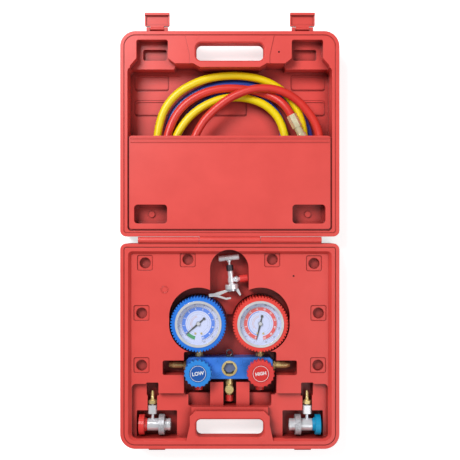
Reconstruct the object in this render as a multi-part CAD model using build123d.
from build123d import *
import math
import os

# Refrigerant manifold gauge set in its hinged carrying case, lying open and flat.
# Millimetres. X runs along the hinge, +Y from the hinge over the lid, +Z up.
# The model is worked out about the hinge line and moved once, at the end,
# so that the origin is the middle of the underside.

# Case halves
CASE_WIDTH = 318.0
CASE_DEPTH = 298.0
HALF_HEIGHT = 48.0
RIM_GAP = 0.3
CASE_CORNER = 22.0
HINGE_CORNER = 9.0
EDGE_ROUND = 7.0
RIM_INSET = 5.0
RIM_GROOVE = 1.2
RIM_BAND = 10.0
FLOOR = 3.0
SEAT_GAP = 0.3

# Hinge
HINGE_SETBACK = 5.0
BARREL_RADIUS = 4.6
KNUCKLES = 3
KNUCKLE_GAP = 0.4
HINGE_MARGIN = 26.0
HINGE_WEB = 1.0
PIN_RADIUS = 1.5
RUNNING_FIT = 0.05

# Carrying handle slot, the same in both halves
HANDLE_LENGTH = 98.0
HANDLE_WIDTH = 25.5
HANDLE_FROM_EDGE = 17.0
HANDLE_CORNER = 7.5
HANDLE_BEVEL = 2.0
HANDLE_DEPTH = 20.0
GRIP_SIDE = 8.0
BOSS_SIDE = 9.0
BOSS_SLANT = 8.0
BOSS_INNER = 12.0

# Latches
LATCH_INSET = 53.0
LATCH_REACH = 28.0
LATCH_WIDTH = 36.0
LATCH_STRAIGHT = 17.5
LATCH_FOOT_WIDTH = 34.0
LATCH_ROOT_WIDTH = 20.0
LATCH_ROOT_CLEARANCE = 1.0
LATCH_RIM = 2.0
LATCH_SINK = 1.6
LATCH_THICKNESS = 4.0
LATCH_PIVOT_DEPTH = 9.0
LATCH_PIVOT_OUT = 5.0
LATCH_EYE = 3.0
LATCH_PIN_RADIUS = 1.2
LATCH_LIP = 2.6
LATCH_LIP_LENGTH = 3.4
LATCH_CLEARANCE = 0.4
LATCH_SIDE_GAP = 0.5
LUG_WIDTH = 5.0
CATCH_WIDTH = 24.0
CATCH_HEIGHT = 6.0

# Lid compartment and its pocket panel
TRAY_WALL = 10.5
TRAY_NEAR = 13.0
TRAY_FROM_EDGE = 52.0
TRAY_CORNER = 6.0
TRAY_BAY = 5.5
BAY_INSET = 68.5
TRAY_FLOOR = 4.3
PIT_LEVEL = 30.0
PIT_OUTER = 13.0
PIT_INNER = 58.5
PIT_NEAR = 39.0
PIT_FAR = 12.3
PIT_CORNER = 3.0
PIT_STEP = 8.0
PANEL_THICKNESS = 2.5
PANEL_DROP = 3.0
PANEL_NEAR = 16.0
PANEL_FAR = 151.7
PANEL_GAP = 2.0
PANEL_LEDGE = 3.5
PANEL_POST_INSET = 43.8
PANEL_POST_Y = 37.7
PANEL_POST_RADIUS = 6.0
PANEL_SCREW_RADIUS = 4.4
PANEL_WELL = 22.0
WELL_LENGTH = 48.0
WELL_WIDTH = 27.5
WELL_WALL = 2.0
WELL_CORNER = 5.0
WELL_STEP = 3.0
BEAD_WIDTH = 1.6
BEAD_HEIGHT = 0.8
BEADS = (3.8, 9.2)
PLATFORM_STEP = 0.8
PAD_DEPTH = 1.2
PAD_INSET = 5.5
PAD_LENGTH = 51.0
PAD_WIDTH = 22.0
PAD_ROWS = (17.0, 55.0)
PAD_CORNER = 4.0

# Hoses
HOSE_DIAMETER = 12.0
HOSE_SIDES = 10
COIL_X = 2.0
COIL_Y = 133.0
LOW_LAYER = 10.8
MID_LAYER = 23.1
TOP_LAYER = 35.3
COLLAR_RADIUS = 7.4
COLLAR_LENGTH = 20.0
NECK_RADIUS = 5.6
NECK_LENGTH = 11.0
NUT_RADIUS = 7.0
NUT_LENGTH = 11.0
NUT_BORE = 4.6

# Manifold block
MANIFOLD_X = -0.6
MANIFOLD_Y = -189.5
BLOCK_LENGTH = 128.0
BLOCK_HEIGHT = 32.0
BLOCK_THICKNESS = 26.0
BLOCK_CHAMFER = 4.0
STATION_PITCH = 91.0
STATION_OFFSET = -4.0
VALVE_BORE = 5.0
SEAT_Z = 9.0
PISTON_LENGTH = 7.0
STEM_SOCKET = 7.0
GAUGE_STEM_RADIUS = 4.5
PORT_SOCKET = 6.0
PORT_SOCKET_RADIUS = 4.5
PORT_THREAD = 4.0
CAP_LENGTH = 9.0
CHARGE_REACH = 15.2
SIGHT_RADIUS = 11.4
SIGHT_HEX = 9.3
SIGHT_THREAD = 1.2
SIGHT_SEAT = 1.8
SIGHT_RECESS = 4.0
HOOK_RADIUS = 4.2
HOOK_WIRE = 1.1
PARKING_RADIUS = 4.85
PARKING_LENGTH = 26.0
PARKING_OFFSET = 3.0
PARKING_HEX = 6.9
PARKING_NUT = 4.0
PORT_RADIUS = 6.0
PORT_LENGTH = 17.5

# Pressure gauges
GAUGE_Y = -123.0
CASE_RADIUS = 34.0
CASE_CUP_WALL = 1.2
BOOT_RADIUS = 40.6
BOOT_BACK = 3.0
BOOT_TEETH = 56
BOOT_TOOTH = 2.0
GAUGE_HEIGHT = 40.0
BEZEL_LIP = 2.4
LENS_THICKNESS = 1.8
NEEDLE_TIP = 24.5
NEEDLE_TAIL = 13.0
NEEDLE_WIDTH = 1.5
LOW_NEEDLE_BEARING = 221.0
HIGH_NEEDLE_BEARING = 257.0
SPINDLE_RADIUS = 0.8
SPINDLE_REACH = 9.0
NEEDLE_LIFT = 1.6

# Valve knobs
KNOB_RADIUS = 20.3
KNOB_HEIGHT = 16.0
KNOB_LOBES = 20
KNOB_SCALLOP = 1.9
KNOB_DISC = 12.3
KNOB_DISC_DEPTH = 1.2
STEM_RADIUS = 2.5
BONNET_FLATS = 17.0
BONNET_HEIGHT = 5.0
BONNET_THREAD = 8.0
KNOB_LIFT = 1.2

# Can tap
TAP_X = -1.5
TAP_Y = -26.5
TAP_AXIS = 26.0
TAP_LEAN = 6.0
TEE_LENGTH = 31.0
TEE_RADIUS = 4.4
SPINDLE_LENGTH = 10.8
GLAND_LENGTH = 8.5
TAP_BODY_LENGTH = 20.0
TAP_PORT = 13.5
TAP_BALL = 4.4
TAP_NEEDLE_RADIUS = 1.45
TAP_TRAVEL = 4.0
TAP_STEM_RADIUS = 1.6
SADDLE_RADIUS = 9.7
SADDLE_LENGTH = 7.0
CLAMP_PIVOT = (-24.0, -52.5)

# Quick couplers
COUPLER_FROM_EDGE = 30.7
COUPLER_AXIS = 28.0
COUPLER_INSET = 45.2
COUPLER_RADIUS = 9.0
COUPLER_BACK = -7.2
SLEEVE_START = 9.6
SLEEVE_WIDTH = 8.2
SLEEVE_RADIUS = 15.0
NOSE_END = 26.4
NOSE_RADIUS = 8.9
SOCKET_DEPTH = 12.0
HIGH_SOCKET = 8.0
LOW_SOCKET = 6.5
COUPLER_KNOB_RADIUS = 14.8
COUPLER_KNOB_WIDTH = 7.8
COUPLER_CONE = 4.2
COUPLER_STEM = 3.0
DEPRESSOR_RADIUS = 1.4
STEM_NECK = 2.0
STEM_BLOCK = 12.0
BARB_RADIUS = 2.45

# Base recesses
DECK_DROP = 6.0
DECK_SLOPE = 5.5
LOWER_DECK_DROP = 15.0
LOWER_DECK_INSET = 16.0
LOWER_DECK_END = 14.5
LOWER_DECK_FAR = (93.0, 79.4)
LOWER_DECK_REACH = (49.0, 103.0)
TAP_FLOOR = 9.0
DIMPLE = 11.5
DIMPLE_CORNER = 3.0
DIMPLE_SINK = 1.6
DIMPLE_PIT = 7.5
DIMPLE_PIT_SINK = 9.0
# How far each dimple's centre lies from the nearer side wall, and its Y.
LEFT_DIMPLES = [(35.3, -33.4), (97.7, -28.3), (30.2, -106.6), (30.2, -182.7)]
RIGHT_DIMPLES = [(97.1, -28.3), (36.2, -34.1), (29.7, -106.6), (30.4, -182.7)]
GAUGE_RECESS = 42.5
WELL_SHIFT = 11.0
TAP_RECESS = 28.2
TAP_RECESS_TOP = 14.1
TROUGH_LEFT = 2.4
TROUGH_RIGHT = 4.6
TROUGH_ABOVE = 10.5
TROUGH_BELOW = 21.5
SHELF_BELOW = 38.5
SHELF_LEVEL = 20.0
SHELF_HALF = 61.0
SHELF_CORNER = 3.0
STRUT_LEVEL = 31.0
STRUT_INNER = 9.5
STRUT_OUTER = 29.0
PARKING_SLOT = 98.0
PARKING_SLOT_HALF = 10.7
PARKING_SLOT_DROP = 7.0
COUPLER_POCKET = (-36.3, 23.0)
COUPLER_POCKET_Y = (-16.7, 21.8)
STEM_SLOT = 7.0
STEM_SLOT_WIDE = (-8.3, 9.8)
STEM_SLOT_TOP = 64.3
STEM_SLOT_STEP = 43.3
STEM_SLOT_RISE = 4.0

RIM_Z = HALF_HEIGHT - RIM_GAP / 2
HOSE_RADIUS = HOSE_DIAMETER / 2
FAR_EDGE = HINGE_SETBACK + CASE_DEPTH
SLOT_INNER = FAR_EDGE - HANDLE_FROM_EDGE - HANDLE_WIDTH
BARREL_LENGTH = CASE_WIDTH - 2 * HINGE_MARGIN
TRAY_WIDTH = CASE_WIDTH - 2 * TRAY_WALL
TRAY_FAR = FAR_EDGE - TRAY_FROM_EDGE
PANEL_WIDTH = TRAY_WIDTH - 2 * PANEL_GAP
PANEL_POSTS = (PANEL_POST_INSET - CASE_WIDTH / 2, CASE_WIDTH / 2 - PANEL_POST_INSET)
LATCH_X = CASE_WIDTH / 2 - LATCH_INSET
COUPLER_Y = COUPLER_FROM_EDGE - FAR_EDGE
COUPLER_X = CASE_WIDTH / 2 - COUPLER_INSET
COUPLER_FLOOR = COUPLER_AXIS - SLEEVE_RADIUS - SEAT_GAP
PIVOT_Z = RIM_Z - LATCH_PIVOT_DEPTH
PIVOT_Y = FAR_EDGE + LATCH_PIVOT_OUT
LATCH_TIP = FAR_EDGE + LATCH_REACH
CATCH_REACH = LATCH_PIVOT_OUT - LATCH_THICKNESS / 2 - LATCH_CLEARANCE
ORIGIN_Y = (LATCH_TIP - FAR_EDGE - CATCH_REACH) / 2
BLOCK_BOTTOM = FLOOR + SEAT_GAP
BLOCK_TOP = BLOCK_BOTTOM + BLOCK_THICKNESS
BLOCK_MIDDLE = BLOCK_BOTTOM + BLOCK_THICKNESS / 2
PANEL_TOP = RIM_Z - PANEL_DROP
DECK_Z = RIM_Z - DECK_DROP
LOWER_DECK_Z = RIM_Z - LOWER_DECK_DROP
STATION_X = {"low": MANIFOLD_X - STATION_PITCH / 2, "high": MANIFOLD_X + STATION_PITCH / 2}
STATION_Y = MANIFOLD_Y + STATION_OFFSET
PORT_EDGE = MANIFOLD_Y - BLOCK_HEIGHT / 2
LENS_Z = BLOCK_BOTTOM + GAUGE_HEIGHT - 3.6
DIAL_Z = LENS_Z - 7.0
GLAND_FOOT = -SPINDLE_LENGTH - GLAND_LENGTH
SADDLE_TOP = GLAND_FOOT - TAP_BODY_LENGTH

UP = (Align.CENTER, Align.CENTER, Align.MIN)
ALONG_X = Rot(0, 90, 0)
ALONG_Y = Rot(-90, 0, 0)


def cylinder(x, y, z, radius, height):
    """A post standing on the height z."""
    return Pos(x, y, z) * Cylinder(radius, height, align=UP)


def rod_x(x, y, z, radius, length):
    """A rod that runs from x towards +X."""
    return Pos(x, y, z) * ALONG_X * Cylinder(radius, length, align=UP)


def rod_y(x, y, z, radius, length):
    """A rod that runs from y towards +Y."""
    return Pos(x, y, z) * ALONG_Y * Cylinder(radius, length, align=UP)


def block(x0, x1, y0, y1, z0, z1):
    """A plain box between two corners."""
    return Pos(x0, y0, z0) * Box(x1 - x0, y1 - y0, z1 - z0, align=(Align.MIN,) * 3)


def pocket(x0, x1, y0, y1, z0, z1, corner):
    """A box with rounded upright corners."""
    middle = Pos((x0 + x1) / 2, (y0 + y1) / 2, z0)
    return extrude(middle * RectangleRounded(x1 - x0, y1 - y0, corner), z1 - z0)


def prism(points, z0, z1, corner=0.0):
    """An upright prism over a closed outline, its upright edges rounded if a corner is given."""
    outline = make_face(Polyline(*points, close=True))
    if corner:
        outline = fillet(outline.vertices(), corner)
    return extrude(Pos(0, 0, z0) * outline, z1 - z0)


def half_outline(side, inset=0.0):
    """The rim's outline, side +1 for the lid and -1 for the base."""
    outline = Rectangle(CASE_WIDTH - 2 * inset, CASE_DEPTH - 2 * inset)
    corners = outline.vertices().sort_by(Axis.Y)
    far = corners[2:] if side > 0 else corners[:2]
    outline = fillet(far, CASE_CORNER - inset)
    corners = outline.vertices().sort_by(Axis.Y)
    near = corners[:2] if side > 0 else corners[-2:]
    outline = fillet(near, max(HINGE_CORNER - inset, 2.0))
    return Pos(0, side * (HINGE_SETBACK + CASE_DEPTH / 2)) * outline


def half_shell(side):
    """One moulded half before its recesses, with the register groove in its rim."""
    shell = extrude(half_outline(side), RIM_Z)
    shell = fillet(shell.faces().sort_by(Axis.Z)[0].edges(), EDGE_ROUND)
    ring = half_outline(side, RIM_INSET) - half_outline(side, RIM_INSET + RIM_GROOVE)
    shell -= extrude(Pos(0, 0, RIM_Z - RIM_GROOVE) * ring, RIM_GROOVE + 1)
    # The handle is a shallow bar: the underside is cut away behind and beside its slot.
    y0, y1 = sorted((side * SLOT_INNER, side * (FAR_EDGE + HANDLE_CORNER)))
    grip = HANDLE_LENGTH / 2 + GRIP_SIDE
    shell -= pocket(-grip, grip, y0, y1, -1, RIM_Z - HANDLE_DEPTH, HANDLE_CORNER)
    handle_y = side * (SLOT_INNER + HANDLE_WIDTH / 2)
    slot = Pos(0, handle_y, -1) * RectangleRounded(HANDLE_LENGTH, HANDLE_WIDTH, HANDLE_CORNER)
    shell -= extrude(slot, HALF_HEIGHT + 2)
    mouth = Plane((0, handle_y, RIM_Z - HANDLE_BEVEL))
    outline = mouth * RectangleRounded(HANDLE_LENGTH, HANDLE_WIDTH, HANDLE_CORNER)
    return shell - extrude(outline, HANDLE_BEVEL + 0.01, taper=-45)


def knuckle_row(first):
    """Every second knuckle of the barrel, starting with the given one."""
    pitch = BARREL_LENGTH / KNUCKLES
    solids = []
    for index in range(first, KNUCKLES, 2):
        start = -BARREL_LENGTH / 2 + index * pitch + KNUCKLE_GAP / 2
        solids.append((start, pitch - KNUCKLE_GAP))
    return solids


def hinged(shell, side, first, bore):
    """A half with its knuckles and the pin's bore."""
    reach = HINGE_SETBACK + HINGE_WEB
    for start, length in knuckle_row(first):
        shell += rod_x(start, 0, HALF_HEIGHT, BARREL_RADIUS, length)
        y0, y1 = sorted((0, side * reach))
        shell += block(start, start + length, y0, y1, HALF_HEIGHT - BARREL_RADIUS, RIM_Z)
    return shell - rod_x(-CASE_WIDTH / 2, 0, HALF_HEIGHT, bore, CASE_WIDTH)


def handle_boss(side):
    """The raised land round the handle slot, which the deck and the rim's step stop at."""
    foot, neck = HANDLE_LENGTH / 2 + BOSS_SIDE + BOSS_SLANT, HANDLE_LENGTH / 2 + BOSS_SIDE
    inner = SLOT_INNER - BOSS_INNER
    outline = [(-foot, FAR_EDGE + 1), (-neck, SLOT_INNER + BOSS_SLANT), (-neck, inner + BOSS_SLANT),
               (BOSS_SLANT - neck, inner), (neck - BOSS_SLANT, inner), (neck, inner + BOSS_SLANT),
               (neck, SLOT_INNER + BOSS_SLANT), (foot, FAR_EDGE + 1)]
    return prism([(x, side * y) for x, y in outline], -1, HALF_HEIGHT + 1)


def base_wells():
    """Round gauge wells, the arched tap well, the block's trough and the shelf below it."""
    top = HALF_HEIGHT + 1
    wells = cylinder(MANIFOLD_X, -TAP_RECESS_TOP - TAP_RECESS, TAP_FLOOR, TAP_RECESS, HALF_HEIGHT)
    wells += block(MANIFOLD_X - TAP_RECESS, MANIFOLD_X + TAP_RECESS, GAUGE_Y + WELL_SHIFT,
                   -TAP_RECESS_TOP - TAP_RECESS, TAP_FLOOR, top)
    for x in STATION_X.values():
        wells += cylinder(x, GAUGE_Y, FLOOR, GAUGE_RECESS, HALF_HEIGHT)
        wells += cylinder(x, GAUGE_Y + WELL_SHIFT, TAP_FLOOR, GAUGE_RECESS, HALF_HEIGHT)
    trough_top = MANIFOLD_Y + BLOCK_HEIGHT / 2 + TROUGH_ABOVE
    wells += block(STATION_X["low"], STATION_X["high"], trough_top - 2, GAUGE_Y + WELL_SHIFT, FLOOR, top)
    wells += pocket(MANIFOLD_X - BLOCK_LENGTH / 2 - TROUGH_LEFT, MANIFOLD_X + BLOCK_LENGTH / 2 + TROUGH_RIGHT,
                    PORT_EDGE - TROUGH_BELOW, trough_top, FLOOR, top, SHELF_CORNER)
    shelf = PORT_EDGE - SHELF_BELOW
    wells += pocket(-SHELF_HALF, SHELF_HALF, shelf, PORT_EDGE - BLOCK_CHAMFER, SHELF_LEVEL, top, SHELF_CORNER)
    slot_y = MANIFOLD_Y + PARKING_OFFSET
    wells += pocket(-PARKING_SLOT, PARKING_SLOT, slot_y - PARKING_SLOT_HALF, slot_y + PARKING_SLOT_HALF,
                    BLOCK_MIDDLE - PARKING_SLOT_DROP, top, SHELF_CORNER)
    wells += block(-STRUT_INNER, STRUT_INNER, shelf, PORT_EDGE, BLOCK_MIDDLE - 9, top)
    return wells


def case_base():
    shell = half_shell(-1)
    # The deck lies below the rim behind a sloping wall, and stops at the handle's land.
    deck = half_outline(-1, RIM_BAND + DECK_SLOPE)
    shell -= extrude(Pos(0, 0, DECK_Z) * deck, DECK_DROP + 1, taper=-35) - handle_boss(-1)
    # Eight square tack-off dimples with a round pit in each.
    dimples = [(inset - CASE_WIDTH / 2, y) for inset, y in LEFT_DIMPLES]
    dimples += [(CASE_WIDTH / 2 - inset, y) for inset, y in RIGHT_DIMPLES]
    for x, y in dimples:
        shell -= pocket(x - DIMPLE, x + DIMPLE, y - DIMPLE, y + DIMPLE, DECK_Z - DIMPLE_SINK, DECK_Z + 1,
                        DIMPLE_CORNER)
        shell -= cylinder(x, y, DECK_Z - DIMPLE_PIT_SINK, DIMPLE_PIT, DIMPLE_PIT_SINK + 1)
    # The lower deck round each coupler.
    for side in (-1, 1):
        for far, reach, corner in zip(LOWER_DECK_FAR, LOWER_DECK_REACH, (TRAY_CORNER, HANDLE_CORNER)):
            x0, x1 = sorted((side * (CASE_WIDTH / 2 - LOWER_DECK_INSET), side * (CASE_WIDTH / 2 - reach)))
            shell -= pocket(x0, x1, LOWER_DECK_END - FAR_EDGE, far - FAR_EDGE, LOWER_DECK_Z, DECK_Z + 1, corner)
    shell -= base_wells()
    # Two struts in the shelf hold the block's lower edge.
    for side in (-1, 1):
        x0, x1 = sorted((side * STRUT_INNER, side * STRUT_OUTER))
        shell += block(x0, x1, PORT_EDGE - SHELF_BELOW - 0.5, PORT_EDGE - BLOCK_CHAMFER, FLOOR - 1, STRUT_LEVEL)
    # A step carries the can tap's saddle.
    seat = SADDLE_LENGTH / 2 - SADDLE_TOP
    seat_x, seat_y = TAP_X + seat * math.sin(math.radians(TAP_LEAN)), TAP_Y - seat
    shell += block(seat_x - SADDLE_RADIUS, seat_x + SADDLE_RADIUS, seat_y - SADDLE_LENGTH, seat_y + SADDLE_LENGTH / 2,
                   FLOOR - 1, TAP_AXIS - SADDLE_RADIUS - SEAT_GAP)
    # A pocket for each coupler, with a slot for its hose stem and barb.
    for side in (-1, 1):
        centre = side * COUPLER_X
        x0, x1 = sorted((centre + side * COUPLER_POCKET[1], centre + side * COUPLER_POCKET[0]))
        shell -= pocket(x0, x1, COUPLER_Y + COUPLER_POCKET_Y[0], COUPLER_Y + COUPLER_POCKET_Y[1],
                        COUPLER_FLOOR, HALF_HEIGHT, 1.5)
        slot_floor = COUPLER_FLOOR + STEM_SLOT_RISE
        shell -= pocket(centre - STEM_SLOT, centre + STEM_SLOT, COUPLER_Y, COUPLER_Y + STEM_SLOT_TOP,
                        slot_floor, HALF_HEIGHT, 2.0)
        x0, x1 = sorted((centre - side * STEM_SLOT_WIDE[0], centre - side * STEM_SLOT_WIDE[1]))
        shell -= pocket(x0, x1, COUPLER_Y + STEM_SLOT_STEP, COUPLER_Y + STEM_SLOT_TOP, slot_floor,
                        HALF_HEIGHT, 2.0)
    return hinged(latch_catches(shell), -1, 0, PIN_RADIUS + RUNNING_FIT)


def latch_catches(shell):
    """A catch on the base's front wall under each latch."""
    for side in (-1, 1):
        x = side * LATCH_X
        lip_reach = LATCH_TIP - LATCH_LIP_LENGTH - PIVOT_Y
        foot = 2 * HALF_HEIGHT - PIVOT_Z - lip_reach + SEAT_GAP
        shell += block(x - CATCH_WIDTH / 2, x + CATCH_WIDTH / 2, -FAR_EDGE - CATCH_REACH, -FAR_EDGE + 2,
                       foot, foot + CATCH_HEIGHT)
    return shell


def lid_tray():
    """The hose tray with its far bay, and a stepped pit over each coupler, open to the tray."""
    half, top = TRAY_WIDTH / 2, HALF_HEIGHT + 1
    bay, neck = half - BAY_INSET, HANDLE_LENGTH / 2 + BOSS_SIDE / 2
    far = TRAY_FAR + TRAY_BAY
    tray = pocket(-half, half, TRAY_NEAR, TRAY_FAR, TRAY_FLOOR, top, TRAY_CORNER)
    tray += prism([(-bay - 4, TRAY_FAR - TRAY_CORNER), (-bay, far), (-neck, far), (-neck + 10, TRAY_FAR),
                   (neck - 10, TRAY_FAR), (neck, far), (bay, far), (bay + 4, TRAY_FAR - TRAY_CORNER)],
                  TRAY_FLOOR, top)
    for side in (-1, 1):
        near, end = FAR_EDGE - PIT_NEAR, FAR_EDGE - PIT_FAR
        outer, inner = half - PIT_OUTER, half - PIT_INNER
        pit = [(half, TRAY_FAR - 2), (outer, near), (outer, end), (inner, end), (inner, near), (bay, far),
               (bay, TRAY_FAR - 2)]
        tray += prism([(side * x, y) for x, y in pit], PIT_LEVEL, top, PIT_CORNER)
        x0, x1 = sorted((side * (outer - PIT_STEP), side * (inner + PIT_CORNER)))
        tray += pocket(x0, x1, near, near + 2 * PIT_STEP, PIT_LEVEL - PIT_STEP, PIT_LEVEL + 1, PIT_CORNER)
    return tray


def case_lid():
    shell = half_shell(1)
    # A thin step between the rim and the platforms, stopping at the handle's land.
    step = extrude(Pos(0, 0, RIM_Z - PLATFORM_STEP) * half_outline(1, RIM_INSET + RIM_GROOVE), 5)
    shell -= step - handle_boss(1)
    shell -= lid_tray()
    half, under = TRAY_WIDTH / 2, PANEL_TOP - PANEL_THICKNESS
    # Shallow pads are moulded into the tray's floor, two rows at the sides and one in the middle.
    for row, far in enumerate(PAD_ROWS):
        starts = [PAD_INSET - half, half - PAD_INSET - PAD_LENGTH] + ([-PAD_LENGTH / 2] if row else [])
        for x in starts:
            shell -= pocket(x, x + PAD_LENGTH, TRAY_FAR - far + PAD_WIDTH / 2 - PAD_WIDTH,
                            TRAY_FAR - far + PAD_WIDTH / 2, TRAY_FLOOR - PAD_DEPTH, TRAY_FLOOR + 1, PAD_CORNER)
    # Ledges and posts carry the pocket panel.
    for x0, x1 in ((-half - 1, -half + PANEL_LEDGE), (half - PANEL_LEDGE, half + 1)):
        shell += block(x0, x1, TRAY_NEAR - 1, PANEL_FAR - 1, TRAY_FLOOR - 1, under)
    shell += block(-half, half, TRAY_NEAR - 1, TRAY_NEAR + PANEL_LEDGE, TRAY_FLOOR - 1, under)
    for x in PANEL_POSTS:
        shell += cylinder(x, PANEL_POST_Y, TRAY_FLOOR - 1, PANEL_POST_RADIUS, PANEL_WELL - TRAY_FLOOR + 1)
    # Two eyes on the far wall carry each latch.
    for side in (-1, 1):
        x = side * LATCH_X
        for edge in (-1, 1):
            start = x + edge * (LATCH_ROOT_WIDTH / 2 + LATCH_SIDE_GAP + LUG_WIDTH / 2) - LUG_WIDTH / 2
            shell += rod_x(start, PIVOT_Y, PIVOT_Z, LATCH_EYE, LUG_WIDTH)
            shell += block(start, start + LUG_WIDTH, FAR_EDGE - 1, PIVOT_Y,
                           PIVOT_Z - LATCH_EYE, PIVOT_Z + LATCH_EYE)
        shell -= rod_x(x - LATCH_WIDTH, PIVOT_Y, PIVOT_Z, LATCH_PIN_RADIUS, 2 * LATCH_WIDTH)
    return hinged(shell, 1, 1, PIN_RADIUS + RUNNING_FIT)


def pocket_panel():
    """The panel that holds the hoses down: a plate with two screwed-down wells and two beads."""
    half = PANEL_WIDTH / 2
    panel = pocket(-half, half, PANEL_NEAR, PANEL_FAR, PANEL_TOP - PANEL_THICKNESS, PANEL_TOP, PAD_CORNER)
    for x in PANEL_POSTS:
        long, wide = WELL_LENGTH / 2, WELL_WIDTH / 2
        panel += pocket(x - long - WELL_WALL, x + long + WELL_WALL, PANEL_POST_Y - wide - WELL_WALL,
                        PANEL_POST_Y + wide + WELL_WALL, PANEL_WELL, PANEL_TOP, WELL_CORNER + WELL_WALL)
        panel -= pocket(x - long, x + long, PANEL_POST_Y - wide, PANEL_POST_Y + wide,
                        PANEL_WELL + PANEL_THICKNESS + WELL_STEP, PANEL_TOP + 1, WELL_CORNER)
        panel -= pocket(x - long + WELL_STEP, x + long - WELL_STEP, PANEL_POST_Y - wide + WELL_STEP,
                        PANEL_POST_Y + wide - WELL_STEP, PANEL_WELL + PANEL_THICKNESS, PANEL_TOP + 1,
                        WELL_CORNER - WELL_WALL)
        panel += cylinder(x, PANEL_POST_Y, PANEL_WELL + 1, PANEL_SCREW_RADIUS, PANEL_THICKNESS + 1.5)
    for inset in BEADS:
        panel += block(-half + 2, half - 2, PANEL_FAR - inset - BEAD_WIDTH / 2, PANEL_FAR - inset + BEAD_WIDTH / 2,
                       PANEL_TOP, PANEL_TOP + BEAD_HEIGHT)
    return panel


def latch(side):
    """A flat latch, swung right open, with a lip at its tip and a rim round its face."""
    x = side * LATCH_X
    root, foot, tip = LATCH_ROOT_WIDTH / 2, LATCH_FOOT_WIDTH / 2, LATCH_WIDTH / 2
    clear, waist = PIVOT_Y + LATCH_EYE + LATCH_ROOT_CLEARANCE, LATCH_TIP - LATCH_STRAIGHT
    low, high = PIVOT_Z - LATCH_THICKNESS / 2, PIVOT_Z + LATCH_THICKNESS / 2
    right = [(root, PIVOT_Y), (root, clear), (foot, clear), (tip, waist), (tip, LATCH_TIP)]
    body = prism([(x + dx, y) for dx, y in right] + [(x - dx, y) for dx, y in reversed(right)], low, high)
    body += rod_x(x - root, PIVOT_Y, PIVOT_Z, LATCH_EYE, 2 * root)
    body -= block(x - tip + LATCH_RIM, x + tip - LATCH_RIM, waist, LATCH_TIP - LATCH_LIP_LENGTH - 1,
                  high - LATCH_SINK, high + 1)
    body += block(x - tip, x + tip, LATCH_TIP - LATCH_LIP_LENGTH, LATCH_TIP, low, high + LATCH_LIP)
    return body - rod_x(x - tip, PIVOT_Y, PIVOT_Z, LATCH_PIN_RADIUS + RUNNING_FIT, 2 * tip)


def latch_pins():
    length = LATCH_ROOT_WIDTH + 2 * LATCH_SIDE_GAP + 2 * LUG_WIDTH
    return [rod_x(side * LATCH_X - length / 2, PIVOT_Y, PIVOT_Z, LATCH_PIN_RADIUS, length)
            for side in (-1, 1)]


def coil_points(turns):
    """A hose's route: each row is a bearing, a distance from the coil's centre and a height."""
    points = []
    for bearing, reach, height in turns:
        angle = math.radians(bearing)
        points.append((COIL_X + reach * math.cos(angle), COIL_Y + reach * math.sin(angle), height))
    return points


def hose_path(points):
    """Straight runs joined by the largest tangent arcs."""
    radii = []
    for before, here, after in zip(points, points[1:], points[2:]):
        into, out = Vector(*here) - Vector(*before), Vector(*after) - Vector(*here)
        turn = math.radians(into.get_angle(out))
        radii.append(0.45 * min(into.length, out.length) / math.tan(turn / 2))
    return FilletPolyline(*points, radius=radii), radii


def hose(name, turns):
    points = coil_points(turns)
    path, radii = hose_path(points)
    section = Plane(path @ 0, z_dir=path % 0) * RegularPolygon(HOSE_RADIUS, HOSE_SIDES)
    tube = sweep(section, path=path, transition=Transition.RIGHT)
    area = section.area
    print(f"{name}: length {path.length:.1f}, volume over section times length "
          f"{tube.volume / (area * path.length):.4f}, smallest radius {min(radii):.1f}")
    return tube


def end_fitting(point, beyond):
    """A hexagon collar crimped on a hose's end, a smooth neck, and the flare nut past it."""
    start = Vector(*point)
    frame = Plane(point, z_dir=(start - Vector(*beyond)).normalized())
    inside = COLLAR_LENGTH / 2
    collar = frame * Pos(0, 0, -inside) * extrude(RegularPolygon(COLLAR_RADIUS, 6), COLLAR_LENGTH)
    collar -= frame * Pos(0, 0, -inside) * Cylinder(HOSE_RADIUS, inside, align=UP)
    neck = frame * Pos(0, 0, inside) * Cylinder(NECK_RADIUS, NECK_LENGTH, align=UP)
    nut = frame * Pos(0, 0, inside + NECK_LENGTH) * extrude(RegularPolygon(NUT_RADIUS, 12), NUT_LENGTH)
    bore = frame * Pos(0, 0, inside + NECK_LENGTH) * Cylinder(NUT_BORE, NUT_LENGTH + 1, align=UP)
    return collar + neck + nut - bore


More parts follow.
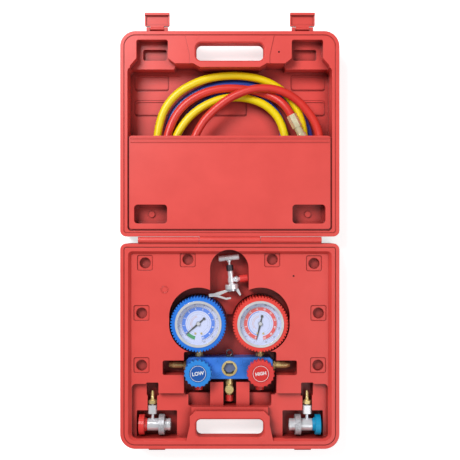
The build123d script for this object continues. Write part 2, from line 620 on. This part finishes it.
# Each hose's bearing, distance from the coil's centre and height, from end to end.
YELLOW_TURNS = [(0, 83, 24.0), (25, 86.5, 23.4), (50, 86, MID_LAYER), (74, 81.5, MID_LAYER),
                (98, 78.5, MID_LAYER), (123, 78, MID_LAYER), (148, 81.5, MID_LAYER), (173, 87, MID_LAYER),
                (198, 91, MID_LAYER), (224, 95, MID_LAYER), (250, 98, MID_LAYER), (277, 101.5, MID_LAYER),
                (304, 105, MID_LAYER), (330, 108, 22.5), (355, 109.5, 21.5), (379, 114, 22.3),
                (401, 119, 23.4), (424, 116.5, MID_LAYER), (448, 112, MID_LAYER),
                (472, 114, MID_LAYER), (496, 119, MID_LAYER), (519, 117, MID_LAYER), (541, 111, MID_LAYER)]
BLUE_TURNS = [(-20, 70, 12.0), (6, 80.5, 11.2), (30, 89, LOW_LAYER), (55, 91.5, LOW_LAYER),
              (80, 88, LOW_LAYER), (104, 84.5, LOW_LAYER), (129, 83.5, LOW_LAYER), (154, 84.5, LOW_LAYER),
              (180, 86, LOW_LAYER), (206, 89, LOW_LAYER), (232, 94, LOW_LAYER), (258, 99, LOW_LAYER),
              (284, 105, LOW_LAYER), (310, 111, LOW_LAYER), (335, 117, LOW_LAYER), (359, 121, LOW_LAYER),
              (382, 121, LOW_LAYER), (405, 114, LOW_LAYER), (428, 105.5, LOW_LAYER), (452, 101.5, LOW_LAYER),
              (476, 102.5, LOW_LAYER), (497, 105, LOW_LAYER), (516, 104, 11.2), (536, 98, 12.0)]
RED_TURNS = [(24, 101.5, 34.8), (37, 103, 34.6), (50, 100.5, 29.2), (64, 95.5, 24.3),
             (79, 92.5, MID_LAYER), (99, 93, MID_LAYER), (119, 95.5, MID_LAYER), (140, 98.5, MID_LAYER),
             (162, 98, 24.0), (184, 98.5, 31.0), (206, 100, TOP_LAYER), (230, 103.5, TOP_LAYER),
             (254, 107, TOP_LAYER), (279, 111, TOP_LAYER), (303, 113, TOP_LAYER), (327, 119, TOP_LAYER),
             (350, 130, TOP_LAYER), (371, 134, TOP_LAYER), (391, 125, TOP_LAYER),
             (409, 115, 37.3), (428, 97.5, 37.8), (449, 78, 36.6), (475, 63, TOP_LAYER),
             (507, 58, TOP_LAYER), (542, 62, TOP_LAYER - 0.7)]
HOSES = {"yellow": YELLOW_TURNS, "blue": BLUE_TURNS, "red": RED_TURNS}


def hose_fittings(turns):
    points = coil_points(turns)
    return [end_fitting(points[0], points[1]), end_fitting(points[-1], points[-2])]


def manifold_block():
    half, high = BLOCK_LENGTH / 2, BLOCK_HEIGHT / 2
    outline = [(-half, -high), (half, -high), (half, high - BLOCK_CHAMFER), (half - BLOCK_CHAMFER, high),
               (-half + BLOCK_CHAMFER, high), (-half, high - BLOCK_CHAMFER)]
    body = prism([(MANIFOLD_X + x, MANIFOLD_Y + y) for x, y in outline], BLOCK_BOTTOM, BLOCK_TOP)
    body = chamfer(body.faces().sort_by(Axis.Z)[-1].edges(), 0.8)
    for x in STATION_X.values():
        body -= cylinder(x, STATION_Y, SEAT_Z, VALVE_BORE, BLOCK_TOP)
        body -= cylinder(x, STATION_Y, SEAT_Z - 3, 2.2, 5)
        body -= rod_y(x, MANIFOLD_Y + high - STEM_SOCKET, BLOCK_MIDDLE, GAUGE_STEM_RADIUS, STEM_SOCKET + 1)
        body -= rod_y(x, PORT_EDGE - 1, BLOCK_MIDDLE, PORT_SOCKET_RADIUS, PORT_SOCKET + 1)
    body -= rod_y(MANIFOLD_X, PORT_EDGE - 1, BLOCK_MIDDLE, PORT_SOCKET_RADIUS, PORT_SOCKET + 1)
    # The cross passage joins the valve chambers to the charging port.
    body -= rod_x(STATION_X["low"], MANIFOLD_Y, SEAT_Z + 2.5, 2.0, STATION_PITCH)
    body -= cylinder(MANIFOLD_X, MANIFOLD_Y, BLOCK_TOP - SIGHT_RECESS - 2, SIGHT_RADIUS - SIGHT_SEAT, 20)
    body -= cylinder(MANIFOLD_X, MANIFOLD_Y, BLOCK_TOP - SIGHT_RECESS + 1, SIGHT_RADIUS - SIGHT_THREAD, 20)
    for side in (-1, 1):
        x0, x1 = sorted((MANIFOLD_X + side * (half - PORT_SOCKET), MANIFOLD_X + side * (half + 1)))
        body -= rod_x(x0, MANIFOLD_Y + PARKING_OFFSET, BLOCK_MIDDLE, PORT_SOCKET_RADIUS, x1 - x0)
    return body


def sight_ring():
    """The brass ring screwed over the sight glass, with a hexagon socket for its key."""
    base = BLOCK_TOP - SIGHT_RECESS + 1
    ring = cylinder(MANIFOLD_X, MANIFOLD_Y, base, SIGHT_RADIUS - SIGHT_THREAD, SIGHT_RECESS - 1)
    ring += cylinder(MANIFOLD_X, MANIFOLD_Y, BLOCK_TOP, SIGHT_RADIUS, 1.8)
    ring -= Pos(MANIFOLD_X, MANIFOLD_Y, base - 1) * extrude(RegularPolygon(SIGHT_HEX, 6), 10)
    return ring


def hanging_hook():
    """A wire hook on the block's upper edge, folded flat."""
    plate = block(MANIFOLD_X - 5, MANIFOLD_X + 5, MANIFOLD_Y + BLOCK_HEIGHT / 2,
                  MANIFOLD_Y + BLOCK_HEIGHT / 2 + 2.0, BLOCK_MIDDLE - 4, BLOCK_MIDDLE + 8)
    wire = Plane.XZ * Pos(HOOK_RADIUS, 0) * RegularPolygon(HOOK_WIRE, 8)
    eye = Pos(MANIFOLD_X, MANIFOLD_Y + BLOCK_HEIGHT / 2 + 6.0, BLOCK_MIDDLE + 5) * revolve(wire, Axis.Z)
    return plate + eye


def barbed(profile):
    """A turned piece about its own Z axis from radius and height pairs."""
    points = [(0, 0)] + profile + [(0, profile[-1][1])]
    outline = make_face(Polyline(*[(r, 0, z) for r, z in points], close=True))
    return revolve(outline, Axis.Z)


def parking_fitting(side):
    """A dummy flare fitting with a hexagon at its root, on which a spare hose end is parked."""
    neck = PORT_SOCKET + PARKING_NUT
    turned = barbed([(PORT_SOCKET_RADIUS, 0), (PORT_SOCKET_RADIUS, neck), (4.0, neck), (4.0, neck + 2.5),
                     (PARKING_RADIUS, neck + 2.5), (PARKING_RADIUS, PORT_SOCKET + PARKING_LENGTH - 6),
                     (3.2, PORT_SOCKET + PARKING_LENGTH)])
    turned += Pos(0, 0, PORT_SOCKET) * extrude(RegularPolygon(PARKING_HEX, 6), PARKING_NUT)
    x = MANIFOLD_X + side * (BLOCK_LENGTH / 2 - PORT_SOCKET)
    return Pos(x, MANIFOLD_Y + PARKING_OFFSET, BLOCK_MIDDLE) * Rot(0, side * 90, 0) * turned


def port_fitting(x):
    """A brass hose port screwed into the block's lower edge."""
    turned = barbed([(PORT_SOCKET_RADIUS, 0), (PORT_SOCKET_RADIUS, PORT_SOCKET), (5.6, PORT_SOCKET),
                     (5.6, PORT_SOCKET + 3.5), (PORT_THREAD, PORT_SOCKET + 3.5),
                     (PORT_THREAD, PORT_SOCKET + PORT_LENGTH - 3)])
    return Pos(x, PORT_EDGE + PORT_SOCKET, BLOCK_MIDDLE) * Rot(90, 0, 0) * turned


def port_cap(x, y, thread_reach):
    """A red screw cap over a port, open towards the block."""
    cap = Pos(x, y, BLOCK_MIDDLE) * Rot(90, 0, 0) * Cylinder(PORT_RADIUS, CAP_LENGTH, align=UP)
    return cap - Pos(x, y, BLOCK_MIDDLE) * Rot(90, 0, 0) * Cylinder(PORT_THREAD, thread_reach, align=UP)


def charge_port():
    """The middle port: a brass stub, a cross body with a valve facing up, and a thread below."""
    x, y = MANIFOLD_X, PORT_EDGE
    body = rod_y(x, y, BLOCK_MIDDLE, PORT_SOCKET_RADIUS, PORT_SOCKET)
    body += rod_y(x, y - CHARGE_REACH - 8, BLOCK_MIDDLE, 5.6, CHARGE_REACH + 8)
    body += cylinder(x, y - CHARGE_REACH, BLOCK_MIDDLE - 5, 5.2, 15)
    body += rod_y(x, y - CHARGE_REACH - 19, BLOCK_MIDDLE, PORT_THREAD, 12)
    return body


def charge_valve_cap():
    x, y = MANIFOLD_X, PORT_EDGE - CHARGE_REACH
    cap = cylinder(x, y, BLOCK_MIDDLE + 6, 6.4, 9)
    cap = chamfer(cap.faces().sort_by(Axis.Z)[-1].edges(), 0.8)
    return cap - cylinder(x, y, BLOCK_MIDDLE + 5, 5.2, 5)


def valve_bonnet(x):
    """A hexagon bonnet screwed into the block over a valve's chamber."""
    base = BLOCK_TOP - BONNET_THREAD
    bonnet = cylinder(x, STATION_Y, base, VALVE_BORE, BONNET_THREAD)
    bonnet += Pos(x, STATION_Y, BLOCK_TOP) * extrude(
        RegularPolygon(BONNET_FLATS / math.sqrt(3), 6), BONNET_HEIGHT)
    return bonnet - cylinder(x, STATION_Y, base - 1, STEM_RADIUS + RUNNING_FIT, 40)


def valve_piston(x):
    """The swivelling piston that closes the valve's seat."""
    piston = cylinder(x, STATION_Y, SEAT_Z + 0.1, VALVE_BORE - RUNNING_FIT, PISTON_LENGTH)
    return chamfer(piston.faces().sort_by(Axis.Z)[0].edges(), 0.8)


def valve_knob(x):
    """A scalloped knob with its stem, and a round seat for its coloured disc."""
    base = BLOCK_TOP + BONNET_HEIGHT + KNOB_LIFT
    pitch = 2 * math.pi * KNOB_RADIUS / KNOB_LOBES
    knob = Pos(x, STATION_Y, base) * Cylinder(KNOB_RADIUS, KNOB_HEIGHT, align=UP)
    knob = chamfer(knob.edges().filter_by(GeomType.CIRCLE), 1.6)
    scallops = [Pos(x, STATION_Y, base - 1) * loc * Cylinder(pitch * 0.34, KNOB_HEIGHT + 2, align=UP)
                for loc in PolarLocations(KNOB_RADIUS + pitch * 0.34 - KNOB_SCALLOP, KNOB_LOBES)]
    knob = knob - scallops
    knob -= cylinder(x, STATION_Y, base + KNOB_HEIGHT - KNOB_DISC_DEPTH, KNOB_DISC + 0.4, 5)
    stem_foot = SEAT_Z + 0.1 + PISTON_LENGTH + SEAT_GAP
    knob += cylinder(x, STATION_Y, stem_foot, STEM_RADIUS, base + 2 - stem_foot)
    return knob


def knob_disc(x):
    base = BLOCK_TOP + BONNET_HEIGHT + KNOB_LIFT + KNOB_HEIGHT - KNOB_DISC_DEPTH
    return cylinder(x, STATION_Y, base, KNOB_DISC, KNOB_DISC_DEPTH - 0.2)


def gauge_boot(x):
    """A moulded rubber boot with a row of square teeth round it."""
    tooth = 360 / BOOT_TEETH
    points = []
    for index in range(BOOT_TEETH):
        for share, radius in ((0.0, BOOT_RADIUS), (0.5, BOOT_RADIUS),
                              (0.6, BOOT_RADIUS - BOOT_TOOTH), (0.9, BOOT_RADIUS - BOOT_TOOTH)):
            angle = math.radians((index + share) * tooth)
            points.append((radius * math.cos(angle), radius * math.sin(angle)))
    boot = prism(points, 0, GAUGE_HEIGHT - 1.0)
    boot -= Pos(0, 0, BOOT_BACK) * Cylinder(CASE_RADIUS, GAUGE_HEIGHT, align=UP)
    boot = Pos(x, GAUGE_Y, BLOCK_BOTTOM) * boot
    return boot - rod_y(x, GAUGE_Y - BOOT_RADIUS - 2, BLOCK_MIDDLE, GAUGE_STEM_RADIUS + 1.5, 12)


def gauge_case(x):
    """A pressed cup whose rolled edge holds the lens."""
    base = BLOCK_BOTTOM + BOOT_BACK
    top = BLOCK_BOTTOM + GAUGE_HEIGHT
    cup = cylinder(x, GAUGE_Y, base, CASE_RADIUS, top - base)
    cup -= cylinder(x, GAUGE_Y, base + CASE_CUP_WALL, CASE_RADIUS - CASE_CUP_WALL, top - base)
    lip = cylinder(x, GAUGE_Y, LENS_Z + LENS_THICKNESS, CASE_RADIUS - 0.5, top - LENS_Z - LENS_THICKNESS)
    cup += lip - cylinder(x, GAUGE_Y, LENS_Z - 1, CASE_RADIUS - BEZEL_LIP - 1.2, 10)
    cup += (cylinder(x, GAUGE_Y, LENS_Z - 1.5, CASE_RADIUS - 0.5, 1.5)
            - cylinder(x, GAUGE_Y, LENS_Z - 2, CASE_RADIUS - 2.2, 4))
    cup += (cylinder(x, GAUGE_Y, DIAL_Z - 1.5, CASE_RADIUS - 0.5, 1.5)
            - cylinder(x, GAUGE_Y, DIAL_Z - 2, CASE_RADIUS - 4.0, 4))
    return cup - rod_y(x, GAUGE_Y - CASE_RADIUS - 2, BLOCK_MIDDLE, GAUGE_STEM_RADIUS, 8)


def gauge_dial(x):
    dial = cylinder(x, GAUGE_Y, DIAL_Z, CASE_RADIUS - 2.2, 1.0)
    return dial - cylinder(x, GAUGE_Y, DIAL_Z - 1, SPINDLE_RADIUS + RUNNING_FIT, 4)


def gauge_lens(x):
    return cylinder(x, GAUGE_Y, LENS_Z, CASE_RADIUS - CASE_CUP_WALL - 0.05, LENS_THICKNESS)


def gauge_stem(x):
    """The brass stem from the block up to the socket inside the gauge's cup."""
    start = MANIFOLD_Y + BLOCK_HEIGHT / 2 - STEM_SOCKET
    end = GAUGE_Y - CASE_RADIUS + 9.0
    stem = rod_y(x, start, BLOCK_MIDDLE, GAUGE_STEM_RADIUS, end - start)
    socket = block(x - 6.5, x + 6.5, GAUGE_Y - CASE_RADIUS + 3.0, end, BLOCK_MIDDLE - 6, BLOCK_MIDDLE + 6)
    flats = Pos(x, MANIFOLD_Y + BLOCK_HEIGHT / 2 + 0.5, BLOCK_MIDDLE) * ALONG_Y * extrude(
        RegularPolygon(6.2, 6), 5)
    return stem + socket + flats


def gauge_movement(x):
    """The curved tube and the bridge that turns the needle's spindle."""
    ring = Circle(22.5) - Circle(19.5)
    gap = make_face(Polyline((0, 0), (-40, 0), (-40, -60), (-6, -60), close=True))
    tube = extrude(ring - gap, 6)
    base = BLOCK_MIDDLE - 3
    bridge = Pos(-6, -25, -2) * Box(12, 37, 3, align=(Align.MIN,) * 3)
    bearing = Pos(0, 0, -2) * Cylinder(3.2, DIAL_Z - base + 2 - 1.5, align=UP)
    foot = Pos(0, -21, 0) * Box(9, 8, 6, align=(Align.CENTER, Align.CENTER, Align.MIN))
    movement = tube + bridge + bearing + foot
    movement -= Pos(0, 0, 2) * Cylinder(SPINDLE_RADIUS + RUNNING_FIT, 30, align=UP)
    return Pos(x, GAUGE_Y, base) * movement


def needle(x, bearing):
    """A tapered pointer with a round tail, on its spindle."""
    tip = [(NEEDLE_WIDTH, -NEEDLE_WIDTH), (NEEDLE_TIP, -0.25), (NEEDLE_TIP, 0.25), (NEEDLE_WIDTH, NEEDLE_WIDTH),
           (-NEEDLE_TAIL + 2, 0.7), (-NEEDLE_TAIL + 2, -0.7)]
    flat = prism(tip, 0, 0.6) + cylinder(-NEEDLE_TAIL + 2, 0, 0, 2.0, 0.6) + cylinder(0, 0, 0, 3.0, NEEDLE_LIFT)
    spindle = Pos(0, 0, -SPINDLE_REACH) * Cylinder(SPINDLE_RADIUS, SPINDLE_REACH + 0.5, align=UP)
    return Pos(x, GAUGE_Y, DIAL_Z + NEEDLE_LIFT) * Rot(0, 0, bearing) * (flat + spindle)


def tap_place(solid):
    """The tap is built along its own axis from the tee, and lies a little askew in its well."""
    return Pos(TAP_X, TAP_Y, TAP_AXIS) * Rot(0, 0, TAP_LEAN) * solid


def tap_body():
    """The tap's chromed body with its side port."""
    body = rod_y(0, SADDLE_TOP, 0, 3.9, TAP_BODY_LENGTH)
    body += rod_y(0, GLAND_FOOT - 17.0, 0, 4.8, 6.5)
    body += rod_x(0, GLAND_FOOT - TAP_PORT, 0, 2.6, 13.0)
    ball = Pos(0, 0, -TAP_BALL) * barbed([(TAP_BALL * math.sin(math.radians(a)),
                                           TAP_BALL - TAP_BALL * math.cos(math.radians(a)))
                                          for a in range(20, 180, 20)] + [(0.4, 2 * TAP_BALL)])
    body += Pos(8.0, GLAND_FOOT - TAP_PORT, 0) * ball
    body -= rod_y(0, SADDLE_TOP - 1, 0, TAP_NEEDLE_RADIUS + RUNNING_FIT, TAP_BODY_LENGTH + 2)
    return tap_place(body)


def tap_gland():
    gland = Pos(0, GLAND_FOOT, 0) * ALONG_Y * extrude(RegularPolygon(5.4, 12), GLAND_LENGTH)
    return tap_place(gland - rod_y(0, GLAND_FOOT - 1, 0, TAP_STEM_RADIUS + RUNNING_FIT, 20))


def tap_handle():
    """A tee handle with two grooves, on its spindle."""
    tee = rod_x(-TEE_LENGTH / 2, 0, 0, TEE_RADIUS, TEE_LENGTH)
    tee = chamfer(tee.edges().filter_by(GeomType.CIRCLE), 1.0)
    for offset in (-6.0, 4.6):
        groove = rod_x(offset, 0, 0, TEE_RADIUS + 1, 1.4)
        tee -= groove - rod_x(offset, 0, 0, TEE_RADIUS - 0.7, 1.4)
    shoulder = SPINDLE_LENGTH - TAP_TRAVEL - SEAT_GAP
    tee += rod_y(0, -shoulder, 0, 2.6, shoulder)
    foot = GLAND_FOOT + TAP_TRAVEL + SEAT_GAP
    return tap_place(tee + rod_y(0, foot, 0, TAP_STEM_RADIUS, -foot))


def piercing_needle():
    """The pointed pin that the handle drives into the can."""
    length = TAP_BODY_LENGTH + 4.0
    pin = rod_y(0, GLAND_FOOT - length, 0, TAP_NEEDLE_RADIUS, length + TAP_TRAVEL)
    tip = Pos(0, GLAND_FOOT - length, 0) * Rot(90, 0, 0) * Cone(TAP_NEEDLE_RADIUS, 0.2, 3, align=UP)
    return tap_place(pin + tip)


def tap_side_cap():
    y = GLAND_FOOT - TAP_PORT
    cap = rod_x(12.7, y, 0, 5.4, 12.0)
    return tap_place(cap - rod_x(12.6, y, 0, 2.6, 1.2))


def tap_saddle():
    """The round saddle that sits on the can's rim, below the body."""
    saddle = rod_y(0, SADDLE_TOP - SADDLE_LENGTH, 0, SADDLE_RADIUS, SADDLE_LENGTH)
    saddle += rod_y(0, SADDLE_TOP - SADDLE_LENGTH - 3.0, 0, 6.0, 3.0)
    return tap_place(saddle - rod_y(0, SADDLE_TOP - SADDLE_LENGTH - 4.0, 0, 1.6, SADDLE_LENGTH + 5.0))


def tap_clamp_arm():
    """The fixed jaw: a plate under the saddle with a hooked end and the lever's pivot."""
    top = SADDLE_TOP - SADDLE_LENGTH
    px, py = CLAMP_PIVOT
    arm = prism([(6.2, top - 0.2), (9.5, top - 0.2), (12.5, top - 9), (10.5, top - 11), (6.2, top - 4)], -6, 6)
    arm += prism([(-6.2, top - 0.2), (px, py + 3.0), (px, py - 3.0), (-6.2, top - 3.4)], -6, -2.3)
    arm += block(-6.3, 6.3, top - 3.2, top - 0.2, -9.0, -6.05)
    arm += block(-6.3, 9.0, top - 3.2, top - 0.2, -9.0, -6.0)
    arm += cylinder(px, py, -6, 3.2, 3.7)
    arm += cylinder(px, py, -6, 1.3, 9.5)
    return tap_place(arm)


def tap_clamp_lever():
    """The swinging jaw: its eye turns on the arm's rivet, with a thumb tab on one side."""
    px, py = CLAMP_PIVOT
    lever = cylinder(px, py, -2.0, 3.2, 4.5)
    lever += prism([(px - 11, py - 2.0), (px, py - 2.6), (px, py + 2.6), (px - 11, py + 2.4)], -2.0, 2.5)
    lever += prism([(px, py - 3.0), (px + 14, py - 8.8), (px + 21, py - 8.0), (px + 21, py - 5.8),
                    (px + 14, py - 6.0), (px, py + 0.8)], -2.0, 2.5)
    return tap_place(lever - cylinder(px, py, -3, 1.3 + RUNNING_FIT, 8))


def coupler_place(side, solid):
    """A coupler is built along its own +X from knob to nose, about its hose stem's centre."""
    turned = solid if side == "high" else solid.mirror(Plane.YZ)
    return Pos(-COUPLER_X if side == "high" else COUPLER_X, COUPLER_Y, COUPLER_AXIS) * turned


def coupler_body(side):
    """The chromed barrel with its nose and socket, and the square stem for the hose."""
    socket = HIGH_SOCKET if side == "high" else LOW_SOCKET
    body = rod_x(COUPLER_BACK, 0, 0, COUPLER_RADIUS, SLEEVE_START + SLEEVE_WIDTH - COUPLER_BACK)
    nose_start = SLEEVE_START + SLEEVE_WIDTH
    body += rod_x(nose_start, 0, 0, NOSE_RADIUS, NOSE_END - nose_start)
    body -= rod_x(NOSE_END - 5.6, 0, 0, NOSE_RADIUS + 1, 1.6) - rod_x(
        NOSE_END - 5.6, 0, 0, NOSE_RADIUS - 0.5, 1.6)
    body -= rod_x(NOSE_END - SOCKET_DEPTH, 0, 0, socket, SOCKET_DEPTH + 1)
    body += rod_y(0, COUPLER_RADIUS - 3, 0, STEM_NECK, 24)
    half = STEM_BLOCK / 2
    stem = block(-half, half, 16.5, 29.0, -half, half)
    body += chamfer(stem.edges().filter_by(Axis.Y), 1.6)
    body -= rod_x(COUPLER_BACK - 1, 0, 0, COUPLER_STEM + RUNNING_FIT, 7.0)
    return coupler_place(side, body - rod_x(
        COUPLER_BACK, 0, 0, DEPRESSOR_RADIUS + RUNNING_FIT, NOSE_END - COUPLER_BACK - SOCKET_DEPTH + 1))


def coupler_barb(side):
    """The brass nut and hose barb on the stem."""
    nut = Pos(0, 31.2, 0) * ALONG_Y * extrude(RegularPolygon(6.6, 6), 4.6)
    nut -= rod_y(0, 31.0, 0, STEM_NECK, 0.2)
    tail = Pos(0, 35.8, 0) * ALONG_Y * barbed([(3.4, 0), (3.4, 1.4), (BARB_RADIUS, 1.4), (BARB_RADIUS, 5.0),
                                               (1.7, 6.6), (BARB_RADIUS, 6.7), (1.7, 9.6),
                                               (BARB_RADIUS, 9.7), (1.3, 14.2)])
    barb = nut + tail - rod_y(0, 29, 0, STEM_NECK, 4.0)
    return coupler_place(side, barb)


def coupler_knob(side):
    """The handwheel with its cone and the stem that works the depressor."""
    cone_start = COUPLER_BACK - SEAT_GAP - COUPLER_CONE
    wheel_start = cone_start - COUPLER_KNOB_WIDTH
    knob = Pos(wheel_start, 0, 0) * ALONG_X * extrude(
        RegularPolygon(COUPLER_KNOB_RADIUS, 24), COUPLER_KNOB_WIDTH)
    knob += Pos(cone_start, 0, 0) * ALONG_X * Cone(10.5, 8.4, COUPLER_CONE, align=UP)
    knob += rod_x(cone_start, 0, 0, COUPLER_STEM, COUPLER_CONE + 5.5)
    knob -= rod_x(wheel_start - 1, 0, 0, 10.0, 3.0)
    return coupler_place(side, knob)


def coupler_sleeve(side):
    """The knurled collar that is drawn back to let the service port go."""
    sleeve = Pos(SLEEVE_START, 0, 0) * ALONG_X * extrude(RegularPolygon(SLEEVE_RADIUS, 30), SLEEVE_WIDTH)
    return coupler_place(side, sleeve - rod_x(0, 0, 0, COUPLER_RADIUS + RUNNING_FIT, 30))


def coupler_depressor(side):
    """The pin that opens the port's valve when the handwheel is screwed in."""
    start = COUPLER_BACK + 6.0 + SEAT_GAP
    pin = rod_x(start, 0, 0, DEPRESSOR_RADIUS, NOSE_END - SOCKET_DEPTH - 0.5 - start)
    return coupler_place(side, pin)


def all_nodes():
    """Every node's solids, about the hinge line."""
    nodes = {
        "case_base": case_base(),
        "hinge_pin": rod_x(-BARREL_LENGTH / 2, 0, HALF_HEIGHT, PIN_RADIUS, BARREL_LENGTH),
        "case_lid": case_lid(),
        "latch_pins": latch_pins(),
        "hose_pocket_panel": pocket_panel(),
        "latch_left": latch(-1),
        "latch_right": latch(1),
        "manifold_block": manifold_block(),
        "sight_glass_ring": sight_ring(),
        "sight_glass_lens": cylinder(MANIFOLD_X, MANIFOLD_Y, BLOCK_TOP - SIGHT_RECESS - 1,
                                     SIGHT_RADIUS - SIGHT_SEAT, 2.0),
        "hanging_hook": hanging_hook(),
        "parking_fittings": [parking_fitting(-1), parking_fitting(1)],
        "port_fittings": [port_fitting(x) for x in STATION_X.values()],
        "charge_port": charge_port(),
        "charge_valve_cap": charge_valve_cap(),
        "port_caps": [port_cap(x, PORT_EDGE - PORT_LENGTH + CAP_LENGTH, CAP_LENGTH - 3.0)
                      for x in STATION_X.values()] + [
            port_cap(MANIFOLD_X, PORT_EDGE - CHARGE_REACH - 10.0, CAP_LENGTH)],
        "valve_bonnets": [valve_bonnet(x) for x in STATION_X.values()],
        "gauge_stems": [gauge_stem(x) for x in STATION_X.values()],
        "gauge_movements": [gauge_movement(x) for x in STATION_X.values()],
        "tap_body": tap_body(),
        "tap_gland_nut": tap_gland(),
        "tap_handle": tap_handle(),
        "piercing_needle": piercing_needle(),
        "tap_side_cap": tap_side_cap(),
        "tap_saddle": tap_saddle(),
        "tap_clamp_arm": tap_clamp_arm(),
        "tap_clamp_lever": tap_clamp_lever(),
    }
    for colour, turns in HOSES.items():
        nodes[f"{colour}_hose"] = hose(f"{colour} hose", turns)
        nodes[f"{colour}_hose_fittings"] = hose_fittings(turns)
    for side, x in STATION_X.items():
        bearing = LOW_NEEDLE_BEARING if side == "low" else HIGH_NEEDLE_BEARING
        nodes[f"{side}_gauge_case"] = gauge_case(x)
        nodes[f"{side}_gauge_boot"] = gauge_boot(x)
        nodes[f"{side}_gauge_dial"] = gauge_dial(x)
        nodes[f"{side}_gauge_lens"] = gauge_lens(x)
        nodes[f"{side}_needle"] = needle(x, bearing)
        nodes[f"{side}_valve_piston"] = valve_piston(x)
        nodes[f"{side}_valve_knob"] = valve_knob(x)
        nodes[f"{side}_knob_disc"] = knob_disc(x)
        nodes[f"{side}_coupler_body"] = coupler_body(side)
        nodes[f"{side}_coupler_barb"] = coupler_barb(side)
        nodes[f"{side}_coupler_knob"] = coupler_knob(side)
        nodes[f"{side}_coupler_sleeve"] = coupler_sleeve(side)
        nodes[f"{side}_coupler_depressor"] = coupler_depressor(side)
    return nodes


os.makedirs("parts", exist_ok=True)
for node, made in all_nodes().items():
    solids = made if isinstance(made, list) else [made]
    export_step(Compound([Pos(0, -ORIGIN_Y, 0) * solid for piece in solids for solid in piece.solids()]),
                f"parts/{node}.step")
